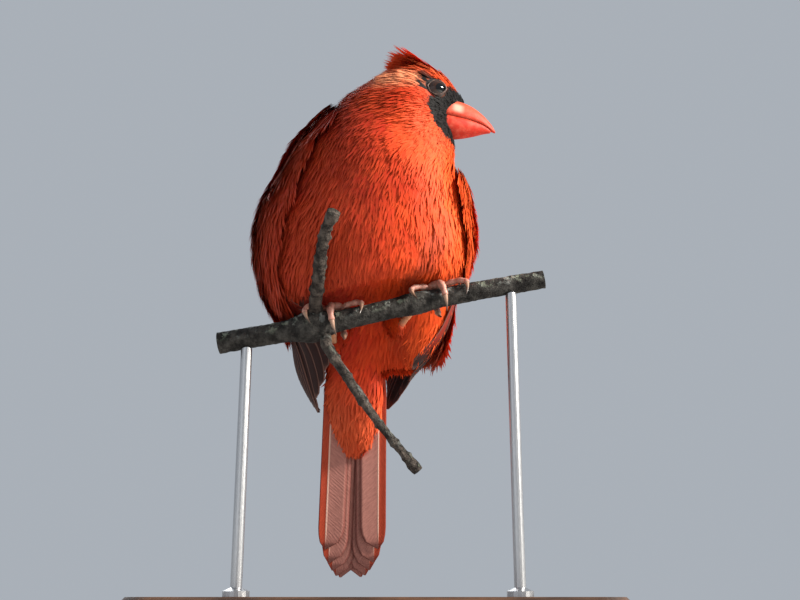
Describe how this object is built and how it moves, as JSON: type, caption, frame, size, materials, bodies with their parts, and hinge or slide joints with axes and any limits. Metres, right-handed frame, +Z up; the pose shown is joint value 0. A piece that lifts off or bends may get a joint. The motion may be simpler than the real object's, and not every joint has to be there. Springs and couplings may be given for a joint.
{
  "type": "northern cardinal",
  "caption": "Life-size still model of an adult male northern cardinal gripping a short length of branch held on a plain wooden stand.",
  "frame": {"origin": "middle of the underside of the stand's base", "axes": "+Z up; the bird's breast faces -Y and a little +X, and its bill points to +X; +X is the bird's left"},
  "size_m": [0.15, 0.1117, 0.2046],
  "materials": {
    "plumage": "soft bright red feathers",
    "wing_feathers": "dusky red-brown flight feathers",
    "tail_feathers": "dull rose-red tail feathers with pale shafts",
    "bill": "smooth coral-red horn, half sheen",
    "eye": "glossy brown-black",
    "leg_skin": "scaled pinkish-brown skin",
    "claw": "dark horn with a slight sheen",
    "bark": "rough grey bark with pale lichen",
    "stand_wood": "satin dark wood",
    "stand_metal": "brushed"
  },
  "bodies": {
    "root": {"claw_left_hallux": "claw", "claw_left_inner": "claw", "claw_left_middle": "claw", "claw_left_outer": "claw", "claw_right_hallux": "claw", "claw_right_inner": "claw", "claw_right_middle": "claw", "claw_right_outer": "claw", "eye_left": "eye", "eye_right": "eye", "foot_left": "leg_skin", "foot_right": "leg_skin", "head": "plumage", "lower_bill": "bill", "neck": "plumage", "perch": "bark", "stand_base": "stand_wood", "stand_rod_left": "stand_metal", "stand_rod_right": "stand_metal", "tail": "tail_feathers", "tarsus_left": "leg_skin", "tarsus_right": "leg_skin", "thigh_left": "plumage", "thigh_right": "plumage", "torso": "plumage", "twig_down": "bark", "twig_up": "bark", "upper_bill": "bill", "wing_left": "wing_feathers", "wing_right": "wing_feathers"}
  },
  "joints": []
}
